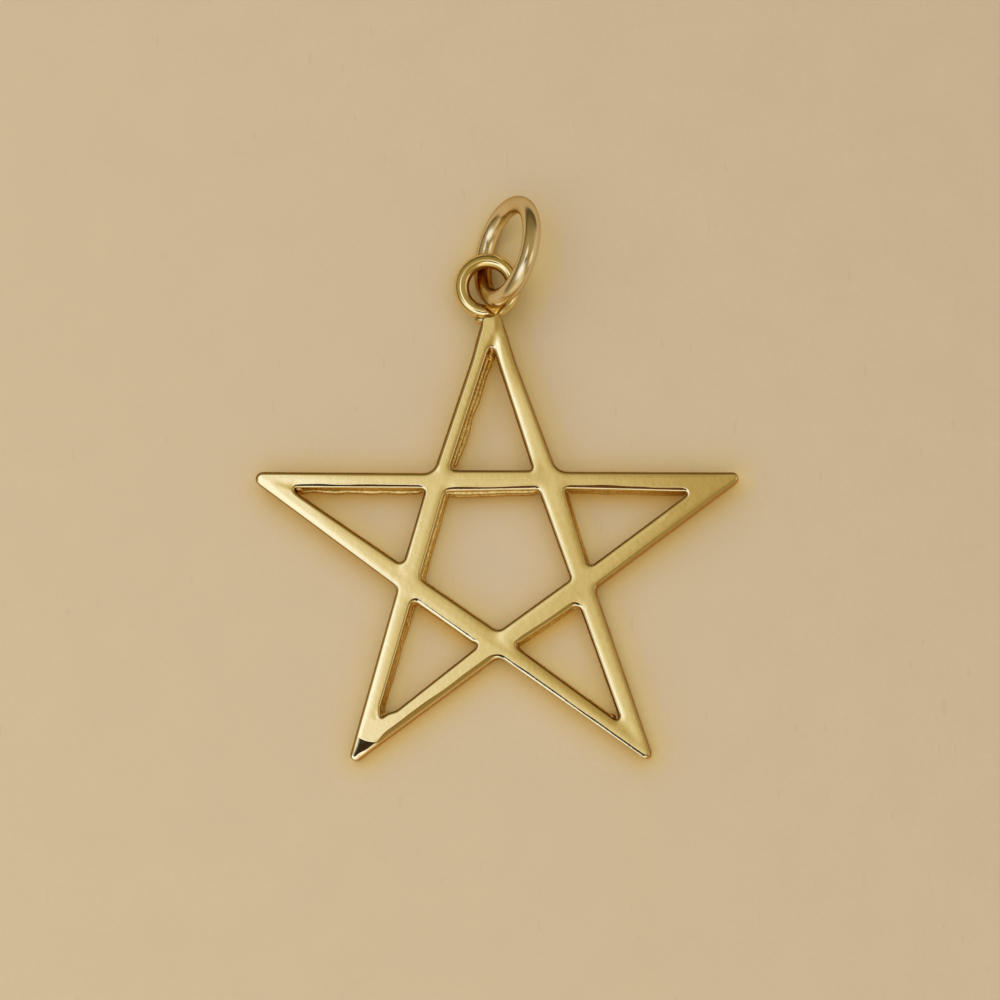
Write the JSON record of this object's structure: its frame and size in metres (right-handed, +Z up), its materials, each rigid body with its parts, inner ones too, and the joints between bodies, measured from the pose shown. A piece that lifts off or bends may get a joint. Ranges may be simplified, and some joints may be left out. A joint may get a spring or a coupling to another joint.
{
  "type": "star charm",
  "caption": "Open star charm of crossing polished gold bars with a soldered wire hang loop and a plain pale gold jump ring, lying flat",
  "frame": {"origin": "bottom centre of the bounding box, on the table that the charm lies on", "axes": "+Y from the two lower points towards the jump ring, +X to the right seen from the front, +Z up out of the star's front"},
  "size_m": [0.026, 0.0302, 0.0052],
  "materials": {
    "yellow_gold": "polished yellow gold, softly rounded edges, rough cast walls in the openings",
    "pale_gold": "polished pale gold wire"
  },
  "bodies": {
    "root": {"star": "yellow_gold", "jump_ring": "pale_gold"}
  },
  "joints": []
}
